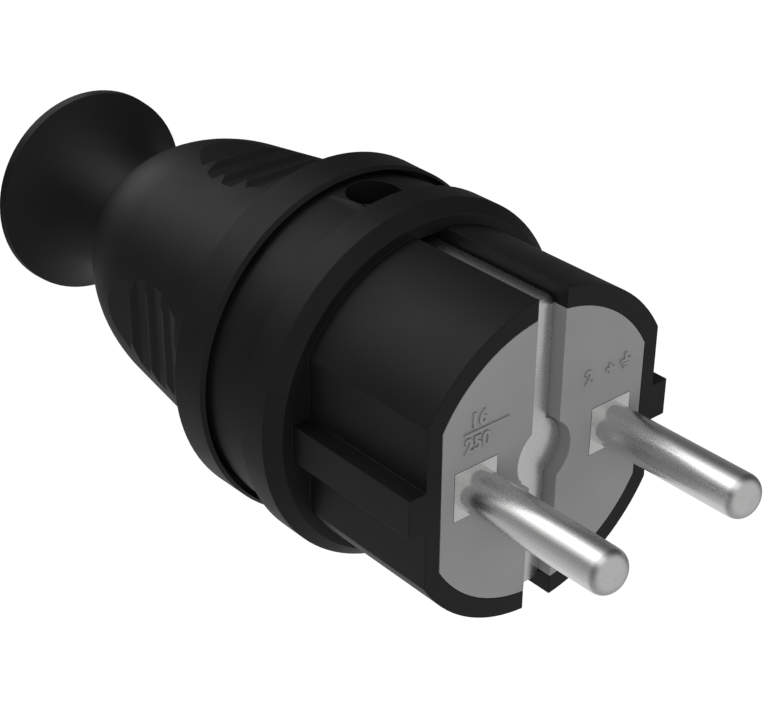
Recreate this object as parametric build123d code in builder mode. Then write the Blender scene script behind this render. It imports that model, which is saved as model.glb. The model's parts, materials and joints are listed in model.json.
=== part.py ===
from build123d import *
import math
import os

# Rubber power plug with two round pins and an earth strap, in millimetres.
# The plug stands on the flared tail of its hood. Z is its axis and the pins point up,
# X runs from the left pin to the right pin, and Y runs along the earth strap.
# The origin is the centre of the tail's end. Depths are measured back from the face.

# Pins
pin_spacing = 19.0
pin_diameter = 4.8
pin_length = 19.0
pin_tip_radius = 1.67
shank_width = 5.6
terminal_width = 6.4
terminal_height = 6.8

# Nose, which fills the socket: round, with two flats, two guide ribs and two grooves
nose_diameter = 36.86
nose_flat_width = 31.9
guide_rib_reach = 2.2
guide_rib_height = 4.34

# Skirt round the nose, ring behind it, and spigot that plugs into the hood
skirt_depth = 17.95
skirt_face_width = 1.07
skirt_chamfer_width = 1.38
skirt_chamfer_length = 1.5
skirt_length = 5.25
skirt_step = 1.06
ring_end_depth = 32.2
spigot_wall = 1.8
spigot_end_depth = 44.0
bead_setback = 7.3
bead_height = 0.5
bead_width = 2.4

# Round hole in the ring over the lock screw
lock_hole_setback = 3.52
lock_hole_diameter = 6.0
lock_floor = 1.6
lock_screw_diameter = 2.5
lock_screw_length = 7.6
lock_head_diameter = 4.2
lock_head_height = 1.8

# Contact carrier inside the nose
rim_on_flats = 1.95
rim_on_arcs = 2.29
carrier_floor = 1.2
lug_width = 7.2
lug_edge = 4.0
cover_post_angle = 35.7
cover_post_diameter = 4.0

# Earth strap: a bar with round edges, bent into a long U with a round boss at its middle
strap_width = 3.6
strap_thickness = 2.4
strap_edge_radius = 1.15
strap_bend_radius = 2.5
strap_sink = 0.9
strap_recess = 0.73
strap_boss_diameter = 7.2
strap_pocket_depth = 22.0
strap_hook_lift = 2.0
strap_hook_reach = 4.4
strap_jog_lift = 0.5
strap_jog_length = 4.5
strap_tail_clearance = 1.7
strap_tail_margin = 1.8

# Terminals
terminal_length = 10.2
terminal_screw_inset = 4.8
wire_hole_diameter = 3.4
wire_hole_length = 7.2
terminal_screw_diameter = 3.0
terminal_screw_length = 4.0
terminal_head_diameter = 4.8
terminal_head_height = 1.8
earth_block_width = 6.4
earth_block_height = 7.0
earth_block_gap = 0.6
earth_rivet_diameter = 2.2
earth_rivet_grip = 1.0
earth_rivet_head_diameter = 3.4
earth_rivet_head_height = 0.7

# Terminal cover with the saddle of the cord clamp
cover_thickness = 2.6
cover_wire_hole_diameter = 4.4
cover_screw_diameter = 2.5
cover_screw_length = 9.0
cover_head_diameter = 4.0
cover_head_height = 1.6
cord_groove_diameter = 10.0
clamp_gap = 2.4
clamp_edge = 2.4
clamp_jaw_height = 5.3
saddle_setback = 6.0
saddle_length = 10.0
arm_width = 4.0
arm_height = 3.3
clamp_bar_length = 7.0
clamp_screw_inset = 4.5
clamp_screw_margin = 0.5
clamp_screw_diameter = 3.0
clamp_screw_overrun = 0.5
clamp_head_diameter = 5.2
clamp_head_height = 2.0

# Nuts
clamp_nut_width = 5.5
clamp_nut_thickness = 2.4
lock_nut_width = 5.0
lock_nut_thickness = 2.0

# Hood
mouth_lap = 2.3
mouth_gap = 0.6
mouth_chamfer_width = 0.4
mouth_chamfer_length = 0.5
collar_draft = 0.07
collar_length = 5.05
bell_front_wall = 3.1
bell_draft = 2.5
shoulder_depth = 54.3
shoulder_radius = 26.5
bell_wall = 2.4
chamber_gap = 1.0
cord_bore = 11.8
neck_wall = 2.1
neck_length = 1.92
neck_fillet = 2.2
flare_length = 12.85
rim_width = 1.24
rim_rear_diameter = 27.0
rim_draft = 0.08
rim_wall = 2.1
tail_mouth_lead = 0.5

# Grips: four flats on the bell that run out in a scoop, each with low ribs across it
grip_count = 4
grip_depth = 2.8
grip_shoulder_gap = 4.9
grip_scoop_radius = 31.0
grip_rib_count = 4
grip_rib_pitch = 3.92
grip_rib_lag = 1.43
grip_rib_height = 0.42
grip_rib_crest = 0.55
grip_rib_rear_run = 0.6
grip_rib_front_run = 1.0

# Clearances and screw slots
fit = 0.05
running_fit = 0.1
slack = 0.15
spigot_fit = 0.2
terminal_clearance = 0.25
screw_lift = 0.6
slot_width = 0.7
slot_depth = 0.8

up_y = (0, 1, 0)
down_y = (0, -1, 0)
backwards = (0, 0, -1)
sides = ((-1, "left"), (1, "right"))

nose_radius = nose_diameter / 2
guide_rib_span = nose_flat_width + 2 * guide_rib_reach
groove_width = strap_width + 2 * slack
skirt_face_radius = nose_radius + skirt_face_width
skirt_radius = skirt_face_radius + skirt_chamfer_width
ring_depth = skirt_depth + skirt_length
ring_radius = skirt_radius - skirt_step

carrier_width = nose_flat_width - 2 * rim_on_flats
carrier_radius = nose_radius - rim_on_arcs
carrier_depth = strap_pocket_depth + carrier_floor
terminal_end_depth = carrier_depth + terminal_length
terminal_screw_depth = terminal_end_depth - terminal_screw_inset
terminal_corner = math.hypot((pin_spacing + terminal_width) / 2, terminal_height / 2)
cavity_radius = terminal_corner + terminal_clearance
spigot_radius = cavity_radius + spigot_wall
bead_depth = ring_end_depth + bead_setback
cover_rear_depth = terminal_end_depth + cover_thickness
cover_post_circle = cavity_radius - cover_post_diameter / 2 - running_fit
cover_post_x = cover_post_circle * math.sin(math.radians(cover_post_angle))
cover_post_y = -cover_post_circle * math.cos(math.radians(cover_post_angle))

lock_hole_depth = ring_depth + lock_hole_setback
lock_seat_y = cavity_radius + lock_floor
lug_bottom = lock_seat_y - lock_screw_length
lug_depth = lock_hole_depth + lug_edge

strap_span = nose_diameter - 2 * strap_recess
strap_line_y = (strap_span - strap_thickness) / 2
strap_line_depth = strap_sink + strap_thickness / 2
strap_groove_half = strap_thickness / 2 + running_fit
strap_channel_depth = strap_line_depth + strap_groove_half
strap_groove_y = strap_line_y - strap_groove_half
strap_hook_depth = strap_pocket_depth - strap_hook_lift
hook_groove_y = strap_line_y - strap_hook_reach - running_fit
strap_jog_end_depth = strap_pocket_depth - strap_jog_lift
strap_jog_depth = strap_jog_end_depth - strap_jog_length
jog_groove_depth = strap_jog_depth - strap_thickness
tail_line_y = cavity_radius - strap_tail_clearance - strap_thickness / 2
tail_groove_y = tail_line_y - strap_groove_half
strap_tail_depth = terminal_end_depth - strap_tail_margin
earth_block_y = -tail_line_y + strap_thickness / 2
earth_wire_y = earth_block_y + earth_block_height / 2

saddle_top = -clamp_gap / 2
saddle_bottom = saddle_top - clamp_jaw_height
saddle_depth = cover_rear_depth + saddle_setback
saddle_end_depth = saddle_depth + saddle_length
clamp_screw_depth = saddle_end_depth - clamp_screw_inset
clamp_screw_spacing = cord_groove_diameter + clamp_screw_diameter + 2 * clamp_screw_margin
clamp_width = clamp_screw_spacing + 2 * clamp_edge

mouth_depth = ring_end_depth - mouth_lap
mouth_radius = ring_radius + mouth_gap
collar_front_radius = mouth_radius + mouth_chamfer_width
collar_end_depth = mouth_depth + collar_length
chamber_radius = spigot_radius + spigot_fit
chamber_end_depth = spigot_end_depth + chamber_gap
bell_front_radius = chamber_radius + bell_front_wall
bell_rear_radius = bell_front_radius - bell_draft
taper_angle = math.atan(bell_draft / (shoulder_depth - collar_end_depth))
shoulder_centre_r = bell_rear_radius - shoulder_radius * math.cos(taper_angle)
shoulder_centre_depth = shoulder_depth - shoulder_radius * math.sin(taper_angle)
inner_radius = shoulder_radius - bell_wall
neck_radius = cord_bore / 2 + neck_wall
neck_depth = shoulder_centre_depth + math.sqrt(shoulder_radius**2 - (neck_radius - shoulder_centre_r) ** 2)
flare_depth = neck_depth + neck_length
body_length = flare_depth + flare_length


def behind(depth):
    """Height above the tail of a point that lies this far behind the face."""
    return body_length - depth


def facing(direction, x, y, depth):
    """Plane at a point, with its own x along X, that faces one way along Y or Z."""
    return Plane(origin=(x, y, behind(depth)), x_dir=(1, 0, 0), z_dir=direction)


def on_shoulder(from_axis, arc_radius):
    """Point of an arc about the shoulder's centre, at this distance from the axis."""
    beyond_centre = math.sqrt(arc_radius**2 - (from_axis - shoulder_centre_r) ** 2)
    return (from_axis, behind(shoulder_centre_depth + beyond_centre))


os.makedirs("parts", exist_ok=True)

# Front moulding: nose, skirt, ring and spigot in one piece of rubber
with BuildPart() as front_moulding:
    with BuildSketch(Plane.XZ):
        with BuildLine():
            Polyline(
                (0, behind(spigot_end_depth)),
                (spigot_radius, behind(spigot_end_depth)),
                (spigot_radius, behind(ring_end_depth)),
                (ring_radius, behind(ring_end_depth)),
                (ring_radius, behind(ring_depth)),
                (skirt_radius, behind(ring_depth)),
                (skirt_radius, behind(skirt_depth + skirt_chamfer_length)),
                (skirt_face_radius, behind(skirt_depth)),
                (0, behind(skirt_depth)),
                close=True,
            )
        make_face()
        with Locations((spigot_radius, behind(bead_depth))):
            Trapezoid(bead_width, bead_height, 45, rotation=-90, align=(Align.CENTER, Align.MIN))
    revolve(axis=Axis.Z)
    with BuildSketch(Plane.XY.offset(behind(skirt_depth))):
        Circle(nose_radius)
        Rectangle(nose_flat_width, nose_diameter, mode=Mode.INTERSECT)
        Rectangle(guide_rib_span, guide_rib_height)
    extrude(amount=skirt_depth)
    with BuildSketch(Plane.XY.offset(behind(skirt_depth))):
        Rectangle(groove_width, nose_diameter)
    extrude(amount=skirt_depth, mode=Mode.SUBTRACT)
    with BuildSketch(Plane.XY.offset(behind(strap_pocket_depth))):
        Rectangle(groove_width, strap_span + 2 * slack)
    extrude(amount=strap_pocket_depth - skirt_depth, mode=Mode.SUBTRACT)
    with BuildSketch(Plane.XY.offset(behind(carrier_depth))):
        Circle(carrier_radius + fit)
        Rectangle(carrier_width + 2 * fit, nose_diameter, mode=Mode.INTERSECT)
    extrude(amount=carrier_depth, mode=Mode.SUBTRACT)
    with BuildSketch(Plane.XY.offset(behind(spigot_end_depth))):
        Circle(cavity_radius)
    extrude(amount=spigot_end_depth - carrier_depth, mode=Mode.SUBTRACT)
    with BuildSketch(facing(up_y, 0, lock_seat_y, lock_hole_depth)):
        Circle(lock_hole_diameter / 2)
    extrude(amount=ring_radius, mode=Mode.SUBTRACT)
    with BuildSketch(facing(up_y, 0, 0, lock_hole_depth)):
        Circle(lock_screw_diameter / 2 + running_fit)
    extrude(amount=ring_radius, mode=Mode.SUBTRACT)
front_moulding.part.label = "front_moulding"
export_step(front_moulding.part, "parts/front_moulding.step")

# Contact carrier: the grey insert, with the channel of the earth strap across its face
channel_corners = (
    (-strap_groove_y, behind(strap_channel_depth)),
    (strap_groove_y, behind(strap_channel_depth)),
    (strap_groove_y, behind(strap_hook_depth - strap_groove_half)),
)
with BuildPart() as contact_carrier:
    with BuildSketch(Plane.XY.offset(behind(carrier_depth))):
        Circle(carrier_radius)
        Rectangle(carrier_width, nose_diameter, mode=Mode.INTERSECT)
    extrude(amount=carrier_depth)
    with BuildSketch(Plane.XY.offset(behind(carrier_depth))):
        with GridLocations(pin_spacing, 0, 2, 1):
            Rectangle(shank_width + 2 * fit, shank_width + 2 * fit)
    extrude(amount=carrier_depth, mode=Mode.SUBTRACT)
    with BuildSketch(Plane.XY.offset(behind(strap_channel_depth))):
        Circle(strap_boss_diameter / 2 + slack)
    extrude(amount=strap_channel_depth, mode=Mode.SUBTRACT)
    with BuildSketch(Plane.YZ) as channel:
        with BuildLine():
            Polyline(
                (-tail_groove_y, behind(carrier_depth)),
                (-tail_groove_y, behind(jog_groove_depth)),
                (-strap_groove_y, behind(jog_groove_depth)),
                *channel_corners,
                (hook_groove_y, behind(strap_hook_depth - strap_groove_half)),
                (hook_groove_y, behind(strap_hook_depth + strap_groove_half)),
                (nose_radius, behind(strap_hook_depth + strap_groove_half)),
                (nose_radius, behind(0)),
                (-nose_radius, behind(0)),
                (-nose_radius, behind(carrier_depth)),
                close=True,
            )
        make_face()
        bends = [channel.vertices().sort_by_distance((*corner, 0))[0] for corner in channel_corners]
        fillet(bends, strap_bend_radius - strap_groove_half)
    extrude(amount=groove_width / 2, both=True, mode=Mode.SUBTRACT)
    with BuildSketch(Plane.XY.offset(behind(carrier_depth))):
        Circle(cavity_radius - slack)
        with Locations((0, lug_bottom)):
            Rectangle(lug_width, cavity_radius, align=(Align.CENTER, Align.MIN), mode=Mode.INTERSECT)
    extrude(amount=carrier_depth - lug_depth)
    with BuildSketch(facing(up_y, 0, lug_bottom, lock_hole_depth)):
        Circle(lock_screw_diameter / 2 + fit)
    extrude(amount=cavity_radius, mode=Mode.SUBTRACT)
    with BuildSketch(facing(up_y, 0, lug_bottom, lock_hole_depth)):
        RegularPolygon(lock_nut_width / 2 + fit, 6, major_radius=False)
    extrude(amount=lock_nut_thickness, mode=Mode.SUBTRACT)
    for side, _ in sides:
        with BuildSketch(facing(backwards, side * cover_post_x, cover_post_y, carrier_depth)):
            Circle(cover_post_diameter / 2)
        extrude(amount=terminal_end_depth - carrier_depth)
        with BuildSketch(facing(backwards, side * cover_post_x, cover_post_y, terminal_end_depth)):
            Circle(cover_screw_diameter / 2 + fit)
        extrude(amount=-cover_screw_length, mode=Mode.SUBTRACT)
contact_carrier.part.label = "contact_carrier"
export_step(contact_carrier.part, "parts/contact_carrier.step")

# Pins: each is turned from square bar, with its screw terminal at the rear
for side, place in sides:
    pin_x = side * pin_spacing / 2
    with BuildPart() as pin:
        with BuildSketch(Plane.XY.offset(behind(0))):
            with Locations((pin_x, 0)):
                Circle(pin_diameter / 2)
        extrude(amount=pin_length)
        fillet(pin.edges().sort_by(Axis.Z)[-1], pin_tip_radius)
        with BuildSketch(Plane.XY.offset(behind(carrier_depth))):
            with Locations((pin_x, 0)):
                Rectangle(shank_width, shank_width)
        extrude(amount=carrier_depth)
        with BuildSketch(Plane.XY.offset(behind(terminal_end_depth))):
            with Locations((pin_x, 0)):
                Rectangle(terminal_width, terminal_height)
        extrude(amount=terminal_end_depth - carrier_depth)
        with BuildSketch(Plane.XY.offset(behind(terminal_end_depth))):
            with Locations((pin_x, 0)):
                Circle(wire_hole_diameter / 2)
        extrude(amount=wire_hole_length, mode=Mode.SUBTRACT)
        with BuildSketch(facing(up_y, pin_x, 0, terminal_screw_depth)):
            Circle(terminal_screw_diameter / 2 + fit)
        extrude(amount=terminal_height, mode=Mode.SUBTRACT)
    pin.part.label = f"pin_{place}"
    export_step(pin.part, f"parts/pin_{place}.step")

# Earth strap: one leg hooks into the carrier, the other runs back to the earth terminal
with BuildPart() as earth_strap:
    with BuildLine(Plane.YZ) as strap_route:
        FilletPolyline(
            (-tail_line_y, behind(strap_tail_depth)),
            (-tail_line_y, behind(strap_jog_end_depth)),
            (-strap_line_y, behind(strap_jog_depth)),
            (-strap_line_y, behind(strap_line_depth)),
            (strap_line_y, behind(strap_line_depth)),
            (strap_line_y, behind(strap_hook_depth)),
            (strap_line_y - strap_hook_reach, behind(strap_hook_depth)),
            radius=strap_bend_radius,
        )
    with BuildSketch(Plane.XY.offset(behind(strap_tail_depth))):
        with Locations((0, -tail_line_y)):
            RectangleRounded(strap_width, strap_thickness, strap_edge_radius)
    sweep(path=strap_route.wires()[0])
    with BuildSketch(Plane.XZ):
        with Locations((0, behind(strap_line_depth))):
            RectangleRounded(strap_boss_diameter, strap_thickness, strap_edge_radius)
        with Locations((0, behind(strap_line_depth))):
            Rectangle(
                strap_boss_diameter,
                strap_thickness,
                align=(Align.MAX, Align.CENTER),
                mode=Mode.SUBTRACT,
            )
    revolve(axis=Axis.Z)
    with BuildSketch(facing(up_y, 0, -tail_line_y - strap_thickness, terminal_screw_depth)):
        Circle(earth_rivet_diameter / 2 + fit)
    extrude(amount=2 * strap_thickness, mode=Mode.SUBTRACT)
earth_strap.part.label = "earth_strap"
export_step(earth_strap.part, "parts/earth_strap.step")

# Earth terminal: a brass block riveted to the strap's tail
with BuildPart() as earth_terminal:
    with BuildSketch(Plane.XY.offset(behind(terminal_end_depth))):
        with Locations((0, earth_block_y)):
            Rectangle(earth_block_width, earth_block_height, align=(Align.CENTER, Align.MIN))
    extrude(amount=terminal_length - earth_block_gap)
    with BuildSketch(Plane.XY.offset(behind(terminal_end_depth))):
        with Locations((0, earth_wire_y)):
            Circle(wire_hole_diameter / 2)
    extrude(amount=wire_hole_length, mode=Mode.SUBTRACT)
    with BuildSketch(facing(up_y, 0, earth_wire_y, terminal_screw_depth)):
        Circle(terminal_screw_diameter / 2 + fit)
    extrude(amount=earth_block_height, mode=Mode.SUBTRACT)
    with BuildSketch(facing(up_y, 0, earth_block_y, terminal_screw_depth)):
        Circle(earth_rivet_diameter / 2 + fit)
    extrude(amount=earth_rivet_grip, mode=Mode.SUBTRACT)
earth_terminal.part.label = "earth_terminal"
export_step(earth_terminal.part, "parts/earth_terminal.step")

# Earth rivet: its head lies under the strap's tail
with BuildPart() as earth_rivet:
    with BuildSketch(facing(down_y, 0, earth_block_y - strap_thickness, terminal_screw_depth)):
        Circle(earth_rivet_head_diameter / 2)
    extrude(amount=earth_rivet_head_height)
    with BuildSketch(facing(down_y, 0, earth_block_y - strap_thickness, terminal_screw_depth)):
        Circle(earth_rivet_diameter / 2)
    extrude(amount=-strap_thickness - earth_rivet_grip)
earth_rivet.part.label = "earth_rivet"
export_step(earth_rivet.part, "parts/earth_rivet.step")

# Terminal cover: the plate that keeps the terminals in, with the saddle of the cord clamp
with BuildPart() as terminal_cover:
    with BuildSketch(Plane.XY.offset(behind(cover_rear_depth))):
        Circle(cavity_radius - spigot_fit)
        with Locations((-pin_spacing / 2, 0), (pin_spacing / 2, 0), (0, earth_wire_y)):
            Circle(cover_wire_hole_diameter / 2, mode=Mode.SUBTRACT)
        with Locations((-cover_post_x, cover_post_y), (cover_post_x, cover_post_y)):
            Circle(cover_screw_diameter / 2 + fit, mode=Mode.SUBTRACT)
    extrude(amount=cover_thickness)
    with BuildSketch(Plane.XY.offset(behind(saddle_end_depth))):
        for side, _ in sides:
            with Locations((side * (clamp_width - arm_width) / 2, saddle_bottom)):
                Rectangle(arm_width, arm_height, align=(Align.CENTER, Align.MIN))
    extrude(amount=saddle_setback + saddle_length)
    with BuildSketch(Plane.XY.offset(behind(saddle_end_depth))):
        with Locations((0, saddle_bottom)):
            Rectangle(clamp_width, clamp_jaw_height, align=(Align.CENTER, Align.MIN))
        Circle(cord_groove_diameter / 2, mode=Mode.SUBTRACT)
    extrude(amount=saddle_length)
    for side, _ in sides:
        with BuildSketch(facing(up_y, side * clamp_screw_spacing / 2, saddle_bottom, clamp_screw_depth)):
            Circle(clamp_screw_diameter / 2 + running_fit)
        extrude(amount=clamp_jaw_height, mode=Mode.SUBTRACT)
        with BuildSketch(facing(up_y, side * clamp_screw_spacing / 2, saddle_bottom, clamp_screw_depth)):
            RegularPolygon(clamp_nut_width / 2 + fit, 6, major_radius=False)
        extrude(amount=clamp_nut_thickness, mode=Mode.SUBTRACT)
terminal_cover.part.label = "terminal_cover"
export_step(terminal_cover.part, "parts/terminal_cover.step")

# Cord clamp bar, the upper jaw of the clamp
with BuildPart() as cord_clamp_bar:
    with BuildSketch(Plane.XY.offset(behind(clamp_screw_depth + clamp_bar_length / 2))):
        with Locations((0, clamp_gap / 2)):
            Rectangle(clamp_width, clamp_jaw_height, align=(Align.CENTER, Align.MIN))
        Circle(cord_groove_diameter / 2, mode=Mode.SUBTRACT)
    extrude(amount=clamp_bar_length)
    for side, _ in sides:
        with BuildSketch(facing(up_y, side * clamp_screw_spacing / 2, 0, clamp_screw_depth)):
            Circle(clamp_screw_diameter / 2 + running_fit)
        extrude(amount=clamp_width, mode=Mode.SUBTRACT)
cord_clamp_bar.part.label = "cord_clamp_bar"
export_step(cord_clamp_bar.part, "parts/cord_clamp_bar.step")

# Screws, each with the plane under its head, shank and head sizes
terminal_seat_y = terminal_height / 2 + screw_lift
earth_seat_y = earth_block_y + earth_block_height + screw_lift
clamp_seat_y = clamp_gap / 2 + clamp_jaw_height
clamp_screw_length = clamp_seat_y - saddle_bottom + clamp_screw_overrun
terminal_sizes = (
    terminal_screw_diameter,
    terminal_screw_length,
    terminal_head_diameter,
    terminal_head_height,
)
cover_sizes = (cover_screw_diameter, cover_screw_length, cover_head_diameter, cover_head_height)
clamp_sizes = (clamp_screw_diameter, clamp_screw_length, clamp_head_diameter, clamp_head_height)
lock_sizes = (lock_screw_diameter, lock_screw_length, lock_head_diameter, lock_head_height)
screws = {
    "earth_terminal_screw": (facing(up_y, 0, earth_seat_y, terminal_screw_depth), terminal_sizes),
    "lock_screw": (facing(up_y, 0, lock_seat_y, lock_hole_depth), lock_sizes),
}
for side, place in sides:
    pin_x = side * pin_spacing / 2
    post_x = side * cover_post_x
    clamp_x = side * clamp_screw_spacing / 2
    screws[f"terminal_screw_{place}"] = (
        facing(up_y, pin_x, terminal_seat_y, terminal_screw_depth),
        terminal_sizes,
    )
    screws[f"cover_screw_{place}"] = (
        facing(backwards, post_x, cover_post_y, cover_rear_depth),
        cover_sizes,
    )
    screws[f"clamp_screw_{place}"] = (
        facing(up_y, clamp_x, clamp_seat_y, clamp_screw_depth),
        clamp_sizes,
    )
for name, (seat, (diameter, length, head_diameter, head_height)) in screws.items():
    with BuildPart() as screw:
        with BuildSketch(seat):
            Circle(head_diameter / 2)
        extrude(amount=head_height)
        with BuildSketch(seat):
            Circle(diameter / 2)
        extrude(amount=-length)
        with BuildSketch(seat.offset(head_height)):
            Rectangle(head_diameter, slot_width)
        extrude(amount=-slot_depth, mode=Mode.SUBTRACT)
    screw.part.label = name
    export_step(screw.part, f"parts/{name}.step")

# Nuts, held in the pockets of the saddle and the carrier's lug
clamp_nut = (clamp_nut_width, clamp_nut_thickness, clamp_screw_diameter)
lock_nut = (lock_nut_width, lock_nut_thickness, lock_screw_diameter)
nuts = {"lock_nut": (facing(up_y, 0, lug_bottom, lock_hole_depth), lock_nut)}
for side, place in sides:
    clamp_x = side * clamp_screw_spacing / 2
    nuts[f"clamp_nut_{place}"] = (facing(up_y, clamp_x, saddle_bottom, clamp_screw_depth), clamp_nut)
for name, (seat, (width, thickness, bore)) in nuts.items():
    with BuildPart() as nut:
        with BuildSketch(seat):
            RegularPolygon(width / 2, 6, major_radius=False)
            Circle(bore / 2, mode=Mode.SUBTRACT)
        extrude(amount=thickness)
    nut.part.label = name
    export_step(nut.part, f"parts/{name}.step")

# Hood: collar, bell with grips, neck and flared tail in one piece of rubber
inner_shoulder_r = shoulder_centre_r + inner_radius * math.cos(taper_angle)
neck_top = on_shoulder(neck_radius, shoulder_radius)
bore_top = on_shoulder(cord_bore / 2, inner_radius)
cord_bore_end = (cord_bore / 2, flare_length - tail_mouth_lead)
rim_rear_radius = rim_rear_diameter / 2
rim_front = (rim_rear_radius - rim_draft, rim_width)
tail_mouth_radius = rim_rear_radius - rim_wall
bead_groove_radius = spigot_radius + bead_height + spigot_fit
bead_groove_half = bead_width / 2 + spigot_fit
grip_flat_radius = bell_front_radius - grip_depth
grip_scoop_depth = shoulder_depth - grip_shoulder_gap
grip_rear_rib_depth = grip_scoop_depth + grip_rib_lag
grip_rib_front_foot = grip_rib_crest / 2 + 2 * grip_rib_front_run
grip_rib_rear_foot = grip_rib_crest / 2 + 2 * grip_rib_rear_run

with BuildPart() as rear_hood:
    with BuildSketch(Plane.XZ):
        with BuildLine():
            Polyline((tail_mouth_radius, 0), (rim_rear_radius, 0), rim_front)
            TangentArc((neck_radius, behind(flare_depth)), rim_front, tangent=(0, -1))
            Line((neck_radius, behind(flare_depth)), neck_top)
            ThreePointArc(
                neck_top,
                on_shoulder((neck_radius + bell_rear_radius) / 2, shoulder_radius),
                (bell_rear_radius, behind(shoulder_depth)),
            )
            Polyline(
                (bell_rear_radius, behind(shoulder_depth)),
                (bell_front_radius, behind(collar_end_depth)),
                (collar_front_radius + collar_draft, behind(collar_end_depth)),
                (collar_front_radius, behind(mouth_depth + mouth_chamfer_length)),
                (mouth_radius, behind(mouth_depth)),
                (mouth_radius, behind(ring_end_depth)),
                (chamber_radius, behind(ring_end_depth)),
                (chamber_radius, behind(bead_depth - bead_groove_half)),
                (bead_groove_radius, behind(bead_depth - bead_groove_half)),
                (bead_groove_radius, behind(bead_depth + bead_groove_half)),
                (chamber_radius, behind(bead_depth + bead_groove_half)),
                (chamber_radius, behind(chamber_end_depth)),
                on_shoulder(inner_shoulder_r, inner_radius),
            )
            ThreePointArc(
                on_shoulder(inner_shoulder_r, inner_radius),
                on_shoulder((inner_shoulder_r + cord_bore / 2) / 2, inner_radius),
                bore_top,
            )
            Line(bore_top, cord_bore_end)
            TangentArc(cord_bore_end, (tail_mouth_radius, 0), tangent=(0, -1))
        profile = make_face()
        neck_corner = profile.vertices().sort_by_distance((*neck_top, 0))[0]
        fillet(neck_corner, neck_fillet)
    revolve(axis=Axis.Z)
    scoop_run = math.sqrt(grip_scoop_radius**2 - (grip_scoop_radius - grip_depth) ** 2)
    scoop_start = (grip_flat_radius, behind(grip_scoop_depth))
    scoop_end = (bell_front_radius, behind(grip_scoop_depth) + scoop_run)
    with BuildSketch(Plane.XZ):
        with BuildLine():
            Line((grip_flat_radius, behind(flare_depth)), scoop_start)
            TangentArc(scoop_start, scoop_end, tangent=(0, 1))
            Polyline(
                scoop_end,
                (bell_front_radius, behind(flare_depth)),
                (grip_flat_radius, behind(flare_depth)),
            )
        make_face()
        for rib in range(grip_rib_count):
            rib_depth = grip_rear_rib_depth - rib * grip_rib_pitch
            slope = math.asin(max(0, grip_scoop_depth - rib_depth) / grip_scoop_radius)
            rib_foot_radius = grip_flat_radius + grip_scoop_radius * (1 - math.cos(slope))
            with Locations((rib_foot_radius, behind(rib_depth))):
                Polygon(
                    (-grip_rib_height, -grip_rib_rear_foot),
                    (grip_rib_height, -grip_rib_crest / 2),
                    (grip_rib_height, grip_rib_crest / 2),
                    (-grip_rib_height, grip_rib_front_foot),
                    rotation=-math.degrees(slope),
                    align=None,
                    mode=Mode.SUBTRACT,
                )
    grip_cut = extrude(amount=grip_flat_radius, both=True, mode=Mode.PRIVATE)
    with PolarLocations(0, grip_count):
        add(grip_cut, mode=Mode.SUBTRACT)
rear_hood.part.label = "rear_hood"
export_step(rear_hood.part, "parts/rear_hood.step")
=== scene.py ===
# %% [markdown]
# # A rubber mains plug, dressed in Blender
#
# The plug stands on its flared tail with its pins up, and its pieces come from a CAD model that fixes
# every place and size. This lesson gives them their looks: softened mould edges, threaded screws,
# raised figures, rubber, plastic and plated metal, and then a pale studio round the whole.
#
# Everything is in metres, so sizes that are easier to say in millimetres are multiplied by MM.

# %% Load the plug and keep the CAD box
import json
import math

import bmesh
import bpy
from mathutils import Matrix, Vector


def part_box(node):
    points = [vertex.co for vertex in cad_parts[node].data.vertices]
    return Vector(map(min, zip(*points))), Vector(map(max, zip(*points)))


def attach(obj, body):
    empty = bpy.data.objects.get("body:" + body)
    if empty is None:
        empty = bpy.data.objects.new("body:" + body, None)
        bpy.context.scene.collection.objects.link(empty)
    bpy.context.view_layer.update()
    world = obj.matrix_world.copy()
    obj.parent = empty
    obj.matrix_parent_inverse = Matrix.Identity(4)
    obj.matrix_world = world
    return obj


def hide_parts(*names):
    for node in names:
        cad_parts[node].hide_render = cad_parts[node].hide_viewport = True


MM = 0.001

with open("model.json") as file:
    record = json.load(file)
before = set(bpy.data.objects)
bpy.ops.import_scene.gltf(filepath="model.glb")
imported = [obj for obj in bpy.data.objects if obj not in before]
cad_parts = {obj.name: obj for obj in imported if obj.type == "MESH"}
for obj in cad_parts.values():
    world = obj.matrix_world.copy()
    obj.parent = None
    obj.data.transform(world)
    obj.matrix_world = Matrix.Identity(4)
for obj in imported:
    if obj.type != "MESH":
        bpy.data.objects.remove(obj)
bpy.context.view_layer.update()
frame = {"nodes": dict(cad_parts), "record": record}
nodes = frame["nodes"]
face_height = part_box("front_moulding")[1].z
print(len(nodes), "CAD nodes; the face is", round(face_height / MM, 2), "mm above the tail")

# %% [markdown]
# ## The camera
#
# The photograph looks at the plug's face from its left and slightly from above, with a fairly long
# lens. Two directions say how the camera is turned, and one place says where it stands, measured from
# the middle of the plug's face. The third direction follows from the first two.

# %% Set the camera
PHOTO_WIDTH = 766
FOCAL_PIXELS = 1765.0
SENSOR_MM = 36.0

towards_camera = Vector((-0.56772, 0.49177, 0.66020)).normalized()
picture_up = Vector((0.31501, 0.87070, -0.37769)).normalized()
picture_right = picture_up.cross(towards_camera)
camera_place = Vector((-110.14, 96.29, 103.01)) * MM + Vector((0, 0, face_height))

camera_data = bpy.data.cameras.new("camera")
camera_data.sensor_width = SENSOR_MM
camera_data.lens = FOCAL_PIXELS / PHOTO_WIDTH * SENSOR_MM
camera = bpy.data.objects.new("camera", camera_data)
turn = Matrix((picture_right, picture_up, towards_camera)).transposed()
camera.matrix_world = Matrix.Translation(camera_place) @ turn.to_4x4()
bpy.context.scene.collection.objects.link(camera)
bpy.context.scene.camera = camera
print("lens", round(camera_data.lens, 1), "mm")

# %% [markdown]
# ## Small helpers for node trees
#
# Shaders and Geometry Nodes are both trees of nodes joined by links. One helper adds a node with its
# settings, and a second gives a group its named sockets, so that each recipe below stays short.


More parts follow.
